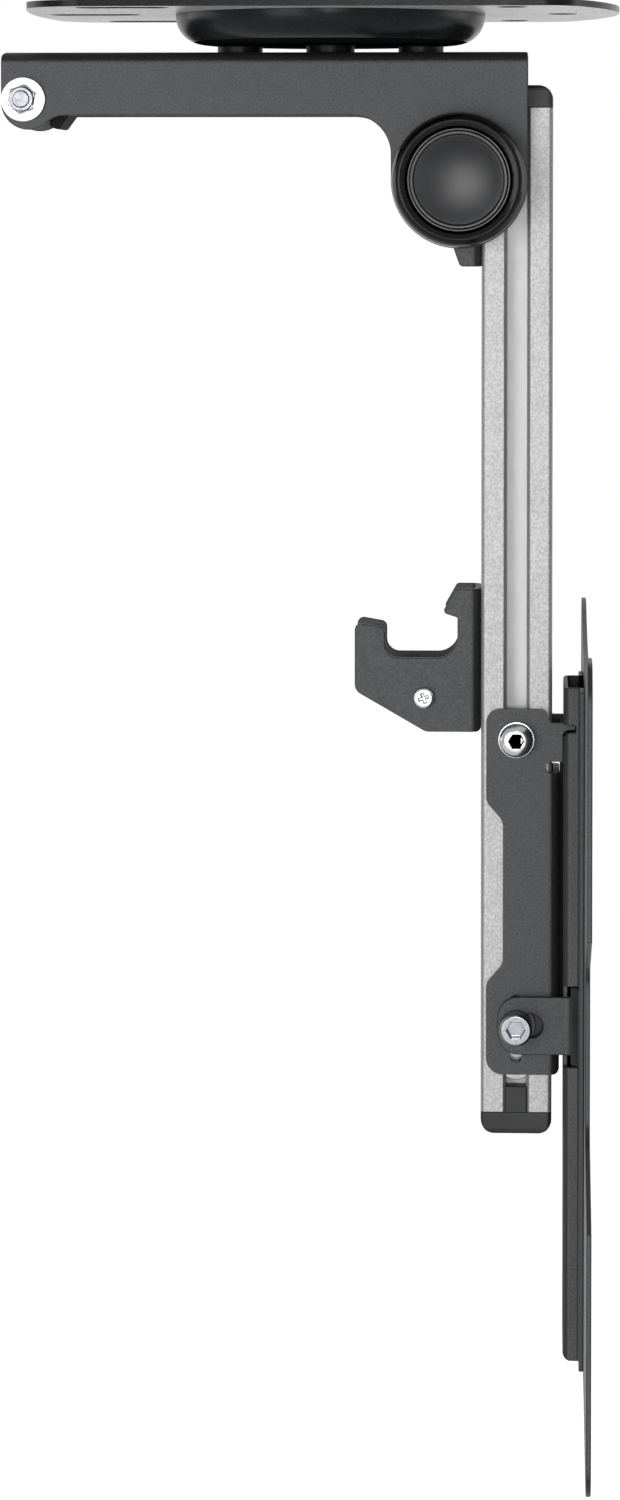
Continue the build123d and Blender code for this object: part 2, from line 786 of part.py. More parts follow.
def bracket_outline():
    """Side of the television bracket with its waist, ear and hooked finger."""
    waist = bracket_left + bracket_waist
    ear = web_out + bracket_ear
    shoulder = web_out - bracket_shoulder_in
    waist_top = bracket_top - bracket_waist_top
    waist_bottom = bracket_bottom + bracket_waist_bottom
    slope = bracket_waist_slope
    return outline(
        (bracket_left, bracket_top, bracket_top_corner), (shoulder, bracket_top, 2.0),
        (shoulder + bracket_shoulder_slope, finger_top, 1.8),
        (ear + finger_reach, finger_top, 0.4),
        (ear + finger_reach, finger_top - finger_height, 0.4),
        (ear, finger_top - finger_height, finger_fillet),
        (ear, bracket_top - bracket_ear_height, 0.5),
        (web_out - 0.6, bracket_top - bracket_ear_height - relief_height, 0),
        (web_out, bracket_top - bracket_ear_height - relief_height, 0),
        (web_out, bracket_bottom, bracket_back_corner),
        (bracket_left, bracket_bottom, bracket_bottom_corner),
        (bracket_left, waist_bottom, 4.0), (waist, waist_bottom + slope, 5.0),
        (waist, waist_top - slope, 5.0), (bracket_left, waist_top, 4.0),
    )


def tv_bracket():
    """Folded bracket: two flanges beside the column and a web behind it, below the ears."""
    left = bracket_left - 1
    outer = outline(
        (left, -flange_out, 0), (web_out, -flange_out, bracket_bend),
        (web_out, flange_out, bracket_bend), (left, flange_out, 0),
    )
    bend_in = bracket_bend - bracket_sheet
    inner = outline(
        (left - 1, -flange_in, 0), (web_in, -flange_in, bend_in),
        (web_in, flange_in, bend_in), (left - 1, flange_in, 0),
    )
    fold_top = bracket_top - bracket_ear_height
    fold = upright(outer - inner, bracket_bottom - 1, fold_top)
    flat_right = web_out + bracket_ear + finger_reach + 1
    flats = Pos((left + flat_right) / 2, 0) * (
        Rectangle(flat_right - left, 2 * flange_out) - Rectangle(flat_right - left, 2 * flange_in)
    )
    flat_top = upright(flats, fold_top, bracket_top + 1)
    bracket = across(bracket_outline(), -flange_out, flange_out) & (fold + flat_top)
    relief = SlotOverall(relief_length, relief_height)
    relief = Pos(web_out - relief_length / 2 + 1.2, fold_top - relief_height / 2) * relief
    bracket -= across(relief, -flange_out - 1, flange_out + 1)
    hole = Circle(clamp_thread / 2 + thread_gap)
    holes = Pos(column_x, upper_clamp_z) * hole + Pos(column_x, lower_clamp_z) * hole
    tie_slot = SlotOverall(tie_slot_length, tie_slot_width, rotation=90)
    holes += Pos(column_x, tie_slot_z) * tie_slot
    return bracket - across(holes, -flange_out - 1, flange_out + 1)


def bracket_pad():
    """Rubber pad on the bracket's web that keeps the spine from rattling."""
    top = bracket_top - bracket_ear_height - relief_height - pad_top_gap
    bottom = lower_clamp_z + tab_height / 2 - pad_top_gap
    shape = Pos(0, (top + bottom) / 2) * Rectangle(pad_width, top - bottom)
    return lengthwise(fillet(shape.vertices(), 1.0), web_out, spine_face)


def clamp_parts():
    """Screws, washers and the long nut bars that clamp the bracket in the grooves."""
    low_end = bracket_bottom - clamp_bar_overhang
    high_end = upper_clamp_z + clamp_bar_above
    length, middle = high_end - low_end, (high_end + low_end) / 2
    reach = groove_lip + screw_overrun
    rounded = across(SlotOverall(length, groove_space, rotation=90), -column_width, column_width)
    near_bar = Pos(column_x, 0, middle) * (groove_bar(length, slide_gap) & rounded)
    holes = Pos(column_x, upper_clamp_z) * Circle(clamp_thread / 2)
    holes += Pos(column_x, lower_clamp_z) * Circle(clamp_thread / 2)
    near_bar -= across(holes, -column_half, 0)
    upper_ring = washer(upper_washer, clamp_thread, upper_washer_thickness)
    upper_seat = flange_out + upper_washer_thickness
    upper = button_screw(
        clamp_thread, upper_seat - column_half + reach, upper_head, upper_head_height, upper_socket
    )
    spacer = washer(lower_spacer, clamp_thread, tab_in - flange_out)
    lower_ring = washer(lower_washer, clamp_thread, lower_washer_thickness)
    lower_seat = tab_out + lower_washer_thickness
    lower = cap_screw(
        clamp_thread, lower_seat - column_half + reach, lower_head, lower_head_height, lower_socket
    )
    return {
        "near_clamp_bar": near_bar,
        "far_clamp_bar": mirror(near_bar, about=Plane.XZ),
        "upper_clamp_screws": both_sides(upper, column_x, upper_clamp_z, upper_seat),
        "upper_clamp_washers": both_sides(upper_ring, column_x, upper_clamp_z, flange_out),
        "lower_clamp_screws": both_sides(lower, column_x, lower_clamp_z, lower_seat),
        "lower_clamp_spacers": both_sides(spacer, column_x, lower_clamp_z, flange_out),
        "lower_clamp_washers": both_sides(lower_ring, column_x, lower_clamp_z, tab_out),
    }


def spine_channel():
    """Hat-shaped channel with finger notches and two slotted tabs folded out of its feet."""
    half = spine_width / 2
    inner_half = half - spine_sheet
    web_inside = spine_face + spine_sheet
    foot_end = half + spine_foot
    bend_in = spine_bend - spine_sheet
    hat = outline(
        (foot_back, -foot_end, 0), (foot_back, -half, bend_in),
        (spine_face, -half, spine_bend), (spine_face, half, spine_bend),
        (foot_back, half, bend_in), (foot_back, foot_end, 0),
        (plate_back, foot_end, 0), (plate_back, inner_half, spine_bend),
        (web_inside, inner_half, bend_in), (web_inside, -inner_half, bend_in),
        (plate_back, -inner_half, spine_bend), (plate_back, -foot_end, 0),
    )
    spine = upright(hat, spine_bottom, spine_top)
    side = outline(
        (spine_face, spine_bottom, 2.5), (plate_back, spine_bottom, 0),
        (plate_back, spine_top, 0), (spine_face, spine_top, 0.8),
    )
    spine &= across(side, -foot_end, foot_end)
    notch_floor = finger_top - finger_height - notch_gap
    notch_end = web_out + bracket_ear + finger_reach + notch_gap
    notch_low = notch_floor - notch_round - 0.1
    window_half = tab_height / 2 + window_margin
    tab_left = column_x - tab_reach
    foot_clear = tab_out + tab_bend + 1.0
    tab_shape = Pos((tab_left + plate_back) / 2, lower_clamp_z) * Rectangle(
        plate_back - tab_left, tab_height
    )
    tab_shape = fillet([v for v in tab_shape.vertices() if v.X < column_x], tab_end_radius)
    root_left = spine_face + tab_root
    tab_shape += Pos((root_left + plate_back) / 2, lower_clamp_z) * Rectangle(
        plate_back - root_left, 2 * (window_half - tab_root_gap)
    )
    tab_shape -= Pos(column_x + tab_slot_travel / 2, lower_clamp_z) * SlotOverall(
        tab_slot_height + tab_slot_travel, tab_slot_height
    )
    window = Pos((spine_face - 1 + plate_back) / 2, lower_clamp_z) * Rectangle(
        plate_back - spine_face + 1, 2 * window_half
    )
    notch = outline(
        (spine_face - 1, finger_top, 0), (notch_end, finger_top, 0.6),
        (notch_end, notch_floor, 0.6), (spine_face, notch_floor, notch_round),
        (spine_face, notch_low, 0), (spine_face - 1, notch_low, 0),
    )
    for side_sign in (-1, 1):
        y_low, y_high = sorted((side_sign * (flange_in - notch_gap), side_sign * (half + 0.1)))
        spine -= across(notch, y_low, y_high)
        y_low, y_high = sorted((side_sign * (tab_in - notch_gap), side_sign * foot_clear))
        spine -= across(window, y_low, y_high)
        tab_section = outline(
            (tab_left, side_sign * tab_in, 0),
            (plate_back, side_sign * tab_in, tab_bend + spine_sheet),
            (plate_back, side_sign * (foot_clear + 1), 0),
            (foot_back, side_sign * (foot_clear + 1), 0),
            (foot_back, side_sign * tab_out, tab_bend),
            (tab_left, side_sign * tab_out, 0),
        )
        tab = upright(tab_section, lower_clamp_z - window_half, lower_clamp_z + window_half)
        spine += tab & across(tab_shape, -foot_end, foot_end)
    return spine


def vesa_plate():
    """Flat plate with lobed corners and the usual television hole patterns."""
    height, width = plate_height, plate_width
    shape = RectangleRounded(width, height, plate_corner)
    sagitta, half_chord = plate_edge_dip, plate_edge_chord / 2
    radius = (half_chord**2 + sagitta**2) / (2 * sagitta)
    for end in (-1, 1):
        shape -= Pos(0, end * (height / 2 + radius - sagitta)) * Circle(radius)
        edge = end * width / 2
        floor = edge - end * plate_side_depth
        shape -= outline(
            (edge + end, plate_side_notch / 2 + 1, 0), (edge + end, -plate_side_notch / 2 - 1, 0),
            (edge, -plate_side_notch / 2, 0),
            (floor, -plate_side_floor / 2, plate_side_fillet),
            (floor, plate_side_floor / 2, plate_side_fillet),
            (edge, plate_side_notch / 2, 0),
        )
    for across_y, across_z in vesa_patterns:
        for y in (-across_y / 2, across_y / 2):
            for z in (-across_z / 2, across_z / 2):
                shape -= Pos(y, z) * Circle(plate_hole / 2)
    return lengthwise(Pos(0, plate_z) * shape, plate_back, plate_front)


def build_parts():
    parts = {"ceiling_plate": ceiling_plate(), "arm_channel": arm_channel()}
    parts.update(swivel_parts())
    parts.update(front_parts())
    parts["latch_lever"] = latch_lever()
    parts.update(hinge_parts())
    parts["column_profile"] = column_profile()
    parts["top_end_cap"] = end_cap(column_top, 1)
    parts["bottom_end_cap"] = end_cap(column_bottom, -1)
    parts["hinge_bracket"] = hinge_bracket()
    hinge_levels = (hinge_z + hinge_screw_up, hinge_z - hinge_screw_down)
    parts["hinge_screws"], parts["hinge_slot_nuts"] = face_screws(hinge_levels, hinge_sheet)
    parts["catch_hook"] = catch_hook()
    catch_levels = (catch_bottom + catch_screw_low, catch_bottom + catch_screw_high)
    parts["catch_screws"], parts["catch_slot_nuts"] = face_screws(catch_levels, catch_sheet)
    parts.update(catch_cross_parts())
    parts["tv_bracket"] = tv_bracket()
    parts["bracket_pad"] = bracket_pad()
    parts.update(clamp_parts())
    parts["spine_channel"] = spine_channel()
    parts["vesa_plate"] = vesa_plate()
    return parts


os.makedirs("parts", exist_ok=True)
for name, solid in build_parts().items():
    export_step(solid, f"parts/{name}.step")
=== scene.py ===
import json
from math import cos, pi, radians, sin

import bmesh
import bpy
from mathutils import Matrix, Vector
from mathutils.bvhtree import BVHTree


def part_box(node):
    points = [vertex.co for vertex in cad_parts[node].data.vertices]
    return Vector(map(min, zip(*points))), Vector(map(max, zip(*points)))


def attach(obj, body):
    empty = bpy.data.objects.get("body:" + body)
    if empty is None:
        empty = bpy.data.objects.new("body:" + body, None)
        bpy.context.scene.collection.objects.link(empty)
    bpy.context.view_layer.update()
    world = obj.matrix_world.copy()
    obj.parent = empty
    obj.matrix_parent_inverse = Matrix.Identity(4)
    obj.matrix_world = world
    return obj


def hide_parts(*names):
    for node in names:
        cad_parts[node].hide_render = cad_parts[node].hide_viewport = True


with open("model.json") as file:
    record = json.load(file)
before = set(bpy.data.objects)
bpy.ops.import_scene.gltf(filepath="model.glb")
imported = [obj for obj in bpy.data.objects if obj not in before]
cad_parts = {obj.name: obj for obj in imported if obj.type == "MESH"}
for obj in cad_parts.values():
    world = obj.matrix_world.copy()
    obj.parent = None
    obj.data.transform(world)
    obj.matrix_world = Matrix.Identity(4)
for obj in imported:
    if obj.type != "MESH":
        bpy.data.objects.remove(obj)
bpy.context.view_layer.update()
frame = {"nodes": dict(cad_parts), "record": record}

# Rounding of edges, in metres; a vertex of the rounded copy that lies further off the solid
# than a share of the rounding is put back on it
SHEET_EDGE = 0.00035
CEILING_EDGE = 0.0001
COLUMN_EDGE = 0.00015
PLASTIC_EDGE = 0.0003
HARDWARE_EDGE = 0.00025
EDGE_SEGMENTS = 2
EDGE_PROFILE = 0.5
STRAY_SHARE = 0.5

# Reading of the solids' meshes, in metres, square metres and degrees; the facets of one curve
# turn by these two radians from each other, and have this share of each other's area
MERGE_DISTANCE = 0.000001
MERGE_ANGLE = 0.4
HARD_EDGE_ANGLE = 32.0
FLAT_AREA = 0.000003
FACET_TURN = (0.008, 0.45)
FACET_SHARE = 0.3

# Places on the part, in metres
CEILING_SHEET_BOTTOM = -0.0024
DOME_FLOOR = -0.0105
SPINE_FACE = 0.0726
COLUMN_X = 0.0581
COLUMN_HALF = 0.011
COLUMN_FACE_DEPTH = 0.0012

# Z of the normal from which a face counts as an underside, a dome floor or a top
UNDERSIDE_FACING = -0.7
DOME_FLOOR_FACING = -0.9
TOP_FACING = 0.3

# Threads, in metres: a thread is its radius and its pitch, its root lies a little below the
# bolt's surface, and at the nut it starts with a share of its height
FRONT_THREAD = (0.0025, 0.0008)
SWIVEL_THREAD = (0.005, 0.0015)
THREAD_HEIGHT = 0.00013
THREAD_ROOT = 0.00003
THREAD_INSET = 0.0002
SWIVEL_TIP_INSET = 0.0003
THREAD_START = 0.3
THREAD_STEPS = 48
THREAD_ROWS_PER_TURN = 6

# Dark strip on the spine, in metres: a sheet of painted shade in the gap between bracket and
# spine
SHADE_STRIP_TOP = -0.2215
SHADE_STRIP_BOTTOM = -0.2405
SHADE_STRIP_HALF_WIDTH = 0.0095
SHADE_STRIP_THICKNESS = 0.0011
SHADE_STRIP_EDGE = 0.0002

# Colours, as linear values
CHARCOAL = (0.086, 0.089, 0.092)
# Painted light: the pale tone of the ceiling plate's underside, standing for the floor's light
# reflected at a grazing angle
UNDERSIDE_PAINTED_LIGHT = (0.56, 0.565, 0.57)
# Painted shade: near-black on the ceiling plate's dome, edges and dome floor, which carry the
# same coat
PAINTED_SHADE_BLACK = (0.007, 0.008, 0.009)
PLASTIC_BLACK = (0.012, 0.012, 0.013)
COVER_BLACK = (0.006, 0.006, 0.007)
CAP_BLACK = (0.014, 0.015, 0.017)
END_CAP = (0.045, 0.046, 0.048)
ALUMINIUM = (0.47, 0.47, 0.47)
ZINC = (0.52, 0.53, 0.54)
STEEL = (0.33, 0.34, 0.36)
STEEL_BLACK = (0.05, 0.05, 0.055)
LINING = (0.10, 0.085, 0.07)
FLOOR = (0.86, 0.86, 0.86)
WHITE = (1.0, 1.0, 1.0)

# Noises: cells per metre, detail, roughness and, on the column, the stretch along X, Y and Z
POWDER_GRAIN = (1500.0, 3.0, 0.6)
POWDER_MOTTLE = (260.0, 2.0, 0.5)
MOULDED_GRAIN = (2600.0, 2.0, 0.5)
MOULDED_MOTTLE = (60.0, 2.0, 0.5)
DRAWN_GRAIN = (1700.0, 2.0, 0.6, (1.0, 1.0, 0.75))
DRAWN_MOTTLE = (420.0, 2.0, 0.6, (1.0, 1.0, 0.4))
PLATED_MOTTLE = (700.0, 3.0, 0.6)
FLOOR_MOTTLE = (4.0, 2.0, 0.5)

# Noise values between which a colour goes from its darker to its lighter tone
NOISE_ENDS = (0.3, 0.7)
DRAWN_ENDS = (0.36, 0.64)

# Darker and lighter tone, as factors on the colour
POWDER_TONES = (0.68, 1.3)
DOME_TONES = (0.6, 1.6)
MOULDED_TONES = (0.85, 1.2)
DRAWN_TONES = (0.8, 1.18)
PLATED_TONES = (0.94, 1.06)
FLOOR_TONES = (0.98, 1.02)

# Painted shade of bends and rounded edges, and painted light in the column's grooves, as a
# factor on the colour; a face is a bend or a flat by the largest part of its normal
POWDER_BEND_SHADE = 0.22
MOULDED_BEND_SHADE = 0.4
DRAWN_BEND_SHADE = 0.45
ZINC_BEND_SHADE = 0.7
STEEL_BEND_SHADE = 0.35
GROOVE_PAINTED_LIGHT = 1.22
FLAT_ENDS = (0.93, 0.99)

# Roughness below and above a finish's own, and for the column its two ends
POWDER_SPREAD = (-0.1, 0.1)
MOULDED_SPREAD = (-0.04, 0.06)
PLATED_SPREAD = (-0.06, 0.1)
DRAWN_ROUGHNESS = (0.44, 0.58)

# Bumps: depth in metres and strength
POWDER_BUMP = (0.00006, 0.5)
MOULDED_BUMP = (0.00002, 0.3)
DRAWN_BUMP = (0.0001, 0.4)
PLATED_BUMP = (0.00002, 0.12)

# Floor, in metres, and the light of floor and world
FLOOR_SIZE = 6.0
FLOOR_LEVEL = -0.75
FLOOR_ROUGHNESS = 0.7
FLOOR_GLOW = 0.82
WORLD_LEVEL = 0.1
WORLD_SEEN = 1.0

# Lamps: name, place and size in metres, watts
LAMP_TARGET = (-0.01, 0.0, -0.2)
LAMPS = (
    ("key", (-1.0, -1.7, -0.15), (0.9, 1.1), 17.0),
    ("front", (0.08, -2.05, -0.1), (0.4, 0.4), 9.0),
    ("side", (-1.4, 0.5, 0.1), (1.0, 1.0), 6.0),
    ("right", (1.7, 0.5, 0.2), (1.0, 1.2), 9.0),
)

# Camera: the photo's frame in pixels, place in metres, angles in degrees
FRAME_HEIGHT = 1500.0
FOCAL_PIXELS = 4248.3
SHIFT_PIXELS = (-45.0, -375.0)
SENSOR = 36.0
CAMERA_PLACE = (0.0669, -1.32, -0.0596)
CAMERA_DOWN = 2.3556
CAMERA_TURN = 2.5718
CAMERA_CLIP = (0.05, 20.0)

MATERIAL_OF = {
    "ceiling_plate": "ceiling", "arm_channel": "powder", "hinge_bracket": "powder",
    "catch_hook": "powder", "tv_bracket": "powder", "spine_channel": "powder",
    "vesa_plate": "powder", "latch_lever": "rubber",
    "swivel_bolt": "steel", "swivel_nut": "steel", "swivel_washers": "zinc",
    "swivel_bush": "nylon", "swivel_glides": "nylon",
    "front_bolt": "steel", "front_nut": "steel", "front_washers": "zinc",
    "hinge_bolt": "steel", "hinge_nut": "steel", "hinge_washers": "zinc",
    "friction_discs": "lining",
    "near_cover_ring": "plastic", "near_cover_cap": "satin",
    "far_cover_ring": "plastic", "far_cover_cap": "satin",
    "column_profile": "aluminium", "top_end_cap": "end_cap", "bottom_end_cap": "end_cap",
    "hinge_screws": "steel", "hinge_slot_nuts": "zinc",
    "catch_screws": "steel", "catch_slot_nuts": "zinc",
    "catch_cross_screw": "zinc", "catch_sleeve": "zinc", "catch_cross_nut": "zinc",
    "near_clamp_bar": "steel", "far_clamp_bar": "steel",
    "upper_clamp_screws": "zinc", "upper_clamp_washers": "zinc",
    "lower_clamp_screws": "steel",
    "lower_clamp_spacers": "black_zinc", "lower_clamp_washers": "black_zinc",
    "bracket_pad": "rubber",
}

EDGE_OF = {
    "powder": SHEET_EDGE, "ceiling": CEILING_EDGE, "aluminium": COLUMN_EDGE,
    "plastic": PLASTIC_EDGE, "satin": PLASTIC_EDGE, "end_cap": PLASTIC_EDGE,
    "nylon": PLASTIC_EDGE, "rubber": PLASTIC_EDGE, "lining": PLASTIC_EDGE,
    "zinc": HARDWARE_EDGE, "steel": HARDWARE_EDGE, "black_zinc": HARDWARE_EDGE,
}

# Nodes that are shown as they are, with no rounded copy
KEPT_AS_BUILT = ("tv_bracket",)

record = frame["record"]
BODY_OF = {
    node: body for body, nodes in record["behaviour"]["bodies"].items() for node in nodes
}


# Node trees

def feed(tree, value, socket):
    """Give a socket its value: linked from another socket, or set where it is plain."""
    if isinstance(value, bpy.types.NodeSocket):
        tree.links.new(value, socket)
    else:
        socket.default_value = value


def math_node(tree, operation, *values):
    node = tree.nodes.new("ShaderNodeMath")
    node.operation = operation
    for slot, value in enumerate(values):
        feed(tree, value, node.inputs[slot])
    return node.outputs["Value"]


def mix_colours(tree, factor, first, second, blend="MIX"):
    """First colour where the factor is 0, and the second blended in where it is 1."""
    node = tree.nodes.new("ShaderNodeMix")
    node.data_type = "RGBA"
    node.blend_type = blend
    feed(tree, factor, node.inputs["Factor"])
    feed(tree, first, node.inputs["A"])
    feed(tree, second, node.inputs["B"])
    return node.outputs["Result"]


def coordinate(tree, kind):
    return tree.nodes.new("ShaderNodeTexCoord").outputs[kind]


def split_vector(tree, vector):
    node = tree.nodes.new("ShaderNodeSeparateXYZ")
    tree.links.new(vector, node.inputs["Vector"])
    return node.outputs


def largest_size(tree, vector, axes):
    """Largest of a vector's sizes along the named axes, whatever their signs."""
    parts = split_vector(tree, vector)
    sizes = [math_node(tree, "ABSOLUTE", parts[axis]) for axis in axes]
    largest = sizes[0]
    for size in sizes[1:]:
        largest = math_node(tree, "MAXIMUM", largest, size)
    return largest


def noise(tree, scale, detail, roughness, stretch=(1.0, 1.0, 1.0)):
    """Noise in object space, in cells per metre, optionally stretched along an axis."""
    mapping = tree.nodes.new("ShaderNodeMapping")
    mapping.inputs["Scale"].default_value = stretch
    texture = tree.nodes.new("ShaderNodeTexNoise")
    texture.inputs["Scale"].default_value = scale
    texture.inputs["Detail"].default_value = detail
    texture.inputs["Roughness"].default_value = roughness
    tree.links.new(coordinate(tree, "Object"), mapping.inputs["Vector"])
    tree.links.new(mapping.outputs["Vector"], texture.inputs["Vector"])
    return texture.outputs["Fac"]


def ramp(tree, value, ends, low_colour, high_colour):
    """Colour that goes from one to the other between the two ends of a value."""
    node = tree.nodes.new("ShaderNodeValToRGB")
    for element, end, colour in zip(node.color_ramp.elements, ends, (low_colour, high_colour)):
        element.position = end
        element.color = (*colour, 1.0)
    tree.links.new(value, node.inputs["Fac"])
    return node.outputs["Color"]


def scaled(colour, factor):
    return tuple(min(1.0, channel * factor) for channel in colour)


def toned(tree, value, colour, tones, ends=NOISE_ENDS):
    """Colour that goes with a noise value from its darker to its lighter tone."""
    return ramp(tree, value, ends, scaled(colour, tones[0]), scaled(colour, tones[1]))


def bump(tree, shader, height, depth, strength):
    node = tree.nodes.new("ShaderNodeBump")
    node.inputs["Distance"].default_value = depth
    node.inputs["Strength"].default_value = strength
    tree.links.new(height, node.inputs["Height"])
    tree.links.new(node.outputs["Normal"], shader.inputs["Normal"])


def around(middle, spread):
    return tuple(middle + change for change in spread)


def spread_roughness(tree, shader, value, ends):
    node = tree.nodes.new("ShaderNodeMapRange")
    node.inputs["To Min"].default_value, node.inputs["To Max"].default_value = ends
    tree.links.new(value, node.inputs["Value"])
    tree.links.new(node.outputs["Result"], shader.inputs["Roughness"])


def on_flats(tree, colour, bend_shade):
    """Colour as given on flat faces, darkened by the given factor as painted shade where a bend
    or edge turns away.
    """
    largest = largest_size(tree, coordinate(tree, "Normal"), "XYZ")
    shade = ramp(tree, largest, FLAT_ENDS, scaled(WHITE, bend_shade), WHITE)
    return mix_colours(tree, 1.0, colour, shade, "MULTIPLY")


def seen_ray(tree, strength):
    """Strength for rays from the camera, in reflections and through clear parts; else 0."""
    path = tree.nodes.new("ShaderNodeLightPath").outputs
    through = math_node(tree, "MAXIMUM", path["Is Glossy Ray"], path["Is Transmission Ray"])
    either = math_node(tree, "MAXIMUM", path["Is Camera Ray"], through)
    return math_node(tree, "MULTIPLY", either, strength)


# Finishes

def new_material(name, colour, roughness, metallic=0.0):
    """Principled material, returned with its node tree and its shader node."""
    material = bpy.data.materials.new(name)
    material.use_nodes = True
    tree = material.node_tree
    shader = tree.nodes["Principled BSDF"]
    shader.inputs["Base Color"].default_value = (*colour, 1.0)
    shader.inputs["Roughness"].default_value = roughness
    shader.inputs["Metallic"].default_value = metallic
    return material, tree, shader


def powder_coat(name, colour, roughness=0.5, specular=0.2):
    """Fine-textured powder coat: small soft dimples, a faint mottle and painted shade on bends
    and edges.
    """
    material, tree, shader = new_material(name, colour, roughness)
    shader.inputs["Specular IOR Level"].default_value = specular
    grain = noise(tree, *POWDER_GRAIN)
    speckle = toned(tree, grain, colour, POWDER_TONES)
    tree.links.new(on_flats(tree, speckle, POWDER_BEND_SHADE), shader.inputs["Base Color"])
    mottle = noise(tree, *POWDER_MOTTLE)
    spread_roughness(tree, shader, mottle, around(roughness, POWDER_SPREAD))
    bump(tree, shader, grain, *POWDER_BUMP)
    return material


def ceiling_coat_and_painted_light(name):
    """Powder coat: charcoal on top, painted light on the flat underside where the floor's light
    reflects, and painted shade, near-black, on dome and edges.
    """
    material = powder_coat(name, UNDERSIDE_PAINTED_LIGHT, roughness=0.24, specular=0.1)
    tree = material.node_tree
    base = tree.nodes["Principled BSDF"].inputs["Base Color"]
    # The coat's pale colour, painted light for the flat underside
    pale = base.links[0].from_socket
    height = split_vector(tree, coordinate(tree, "Object"))["Z"]
    facing = split_vector(tree, coordinate(tree, "Normal"))["Z"]
    on_sheet = math_node(tree, "GREATER_THAN", height, CEILING_SHEET_BOTTOM)
    looks_down = math_node(tree, "LESS_THAN", facing, UNDERSIDE_FACING)
    underside = math_node(tree, "MULTIPLY", on_sheet, looks_down)
    looks_up = math_node(tree, "GREATER_THAN", facing, TOP_FACING)
    grain = noise(tree, *POWDER_GRAIN)
    # Painted light on the flat underside and painted shade, near-black, on dome and edges; the
    # top keeps the charcoal
    black = toned(tree, grain, PAINTED_SHADE_BLACK, DOME_TONES)
    charcoal = toned(tree, grain, CHARCOAL, POWDER_TONES)
    below = mix_colours(tree, underside, black, pale)
    tree.links.new(mix_colours(tree, looks_up, below, charcoal), base)
    return material


def moulded_plastic(name, colour, roughness, specular=0.3):
    """Moulded plastic or rubber with a very fine grain, and painted shade on bends and edges.
    """
    material, tree, shader = new_material(name, colour, roughness)
    shader.inputs["Specular IOR Level"].default_value = specular
    mottle = noise(tree, *MOULDED_MOTTLE)
    tint = toned(tree, mottle, colour, MOULDED_TONES)
    tree.links.new(on_flats(tree, tint, MOULDED_BEND_SHADE), shader.inputs["Base Color"])
    spread_roughness(tree, shader, mottle, around(roughness, MOULDED_SPREAD))
    bump(tree, shader, noise(tree, *MOULDED_GRAIN), *MOULDED_BUMP)
    return material


def blasted_aluminium(name):
    """Satin anodised extrusion: a grain drawn slightly along it, painted shade on bends and
    edges, and painted light in the grooves.
    """
    material, tree, shader = new_material(name, ALUMINIUM, roughness=0.5, metallic=0.3)
    grain = noise(tree, *DRAWN_GRAIN)
    faces = on_flats(tree, toned(tree, grain, ALUMINIUM, DRAWN_TONES, DRAWN_ENDS), DRAWN_BEND_SHADE)
    centred = tree.nodes.new("ShaderNodeMapping")
    centred.inputs["Location"].default_value = (-COLUMN_X, 0.0, 0.0)
    tree.links.new(coordinate(tree, "Object"), centred.inputs["Vector"])
    outward = largest_size(tree, centred.outputs["Vector"], "XY")
    in_groove = math_node(tree, "LESS_THAN", outward, COLUMN_HALF - COLUMN_FACE_DEPTH)
    # Painted light: the grooves' floor lighter than the faces, as if lit from the front
    painted_groove_light = (*scaled(ALUMINIUM, GROOVE_PAINTED_LIGHT), 1.0)
    tree.links.new(mix_colours(tree, in_groove, faces, painted_groove_light), shader.inputs["Base Color"])
    spread_roughness(tree, shader, noise(tree, *DRAWN_MOTTLE), DRAWN_ROUGHNESS)
    bump(tree, shader, grain, *DRAWN_BUMP)
    return material


def plated_steel(name, colour, roughness, bend_shade=ZINC_BEND_SHADE):
    """Plated steel of bolts, nuts, washers and bars, with painted shade on bends and edges."""
    material, tree, shader = new_material(name, colour, roughness, metallic=1.0)
    mottle = noise(tree, *PLATED_MOTTLE)
    tint = toned(tree, mottle, colour, PLATED_TONES)
    tree.links.new(on_flats(tree, tint, bend_shade), shader.inputs["Base Color"])
    spread_roughness(tree, shader, mottle, around(roughness, PLATED_SPREAD))
    bump(tree, shader, mottle, *PLATED_BUMP)
    return material


def make_materials():
    return {
        "powder": powder_coat("powder_coat", CHARCOAL),
        "ceiling": ceiling_coat_and_painted_light("ceiling_coat_and_painted_light"),
        "plastic": moulded_plastic("black_plastic", COVER_BLACK, roughness=0.15, specular=0.14),
        "satin": moulded_plastic("satin_plastic", CAP_BLACK, roughness=0.24, specular=0.2),
        "aluminium": blasted_aluminium("blasted_aluminium"),
        "zinc": plated_steel("zinc_plate", ZINC, roughness=0.2),
        "steel": plated_steel("bright_steel", STEEL, roughness=0.2, bend_shade=STEEL_BEND_SHADE),
        "black_zinc": plated_steel("blackened_steel", STEEL_BLACK, roughness=0.35),
        "end_cap": moulded_plastic("end_cap_plastic", END_CAP, roughness=0.45, specular=0.2),
        "nylon": moulded_plastic("black_nylon", PLASTIC_BLACK, roughness=0.35, specular=0.12),
        "dome_floor": moulded_plastic("dome_floor", PAINTED_SHADE_BLACK, roughness=0.7, specular=0.0),
        "rubber": moulded_plastic("black_rubber", PLASTIC_BLACK, roughness=0.75, specular=0.1),
        "lining": moulded_plastic("friction_lining", LINING, roughness=0.8),
    }


# Pieces

def add_object(name, data):
    obj = bpy.data.objects.new(name, data)
    bpy.context.scene.collection.objects.link(obj)
    return obj


def add_piece(name, work, material):
    """Object with the shape in a bmesh, which is freed."""
    mesh = bpy.data.meshes.new(name)
    work.to_mesh(mesh)
    work.free()
    mesh.materials.append(material)
    return add_object(name, mesh)


def paint(obj, material):
    for slot in obj.material_slots:
        slot.material = material
    if not obj.material_slots:
        obj.data.materials.append(material)


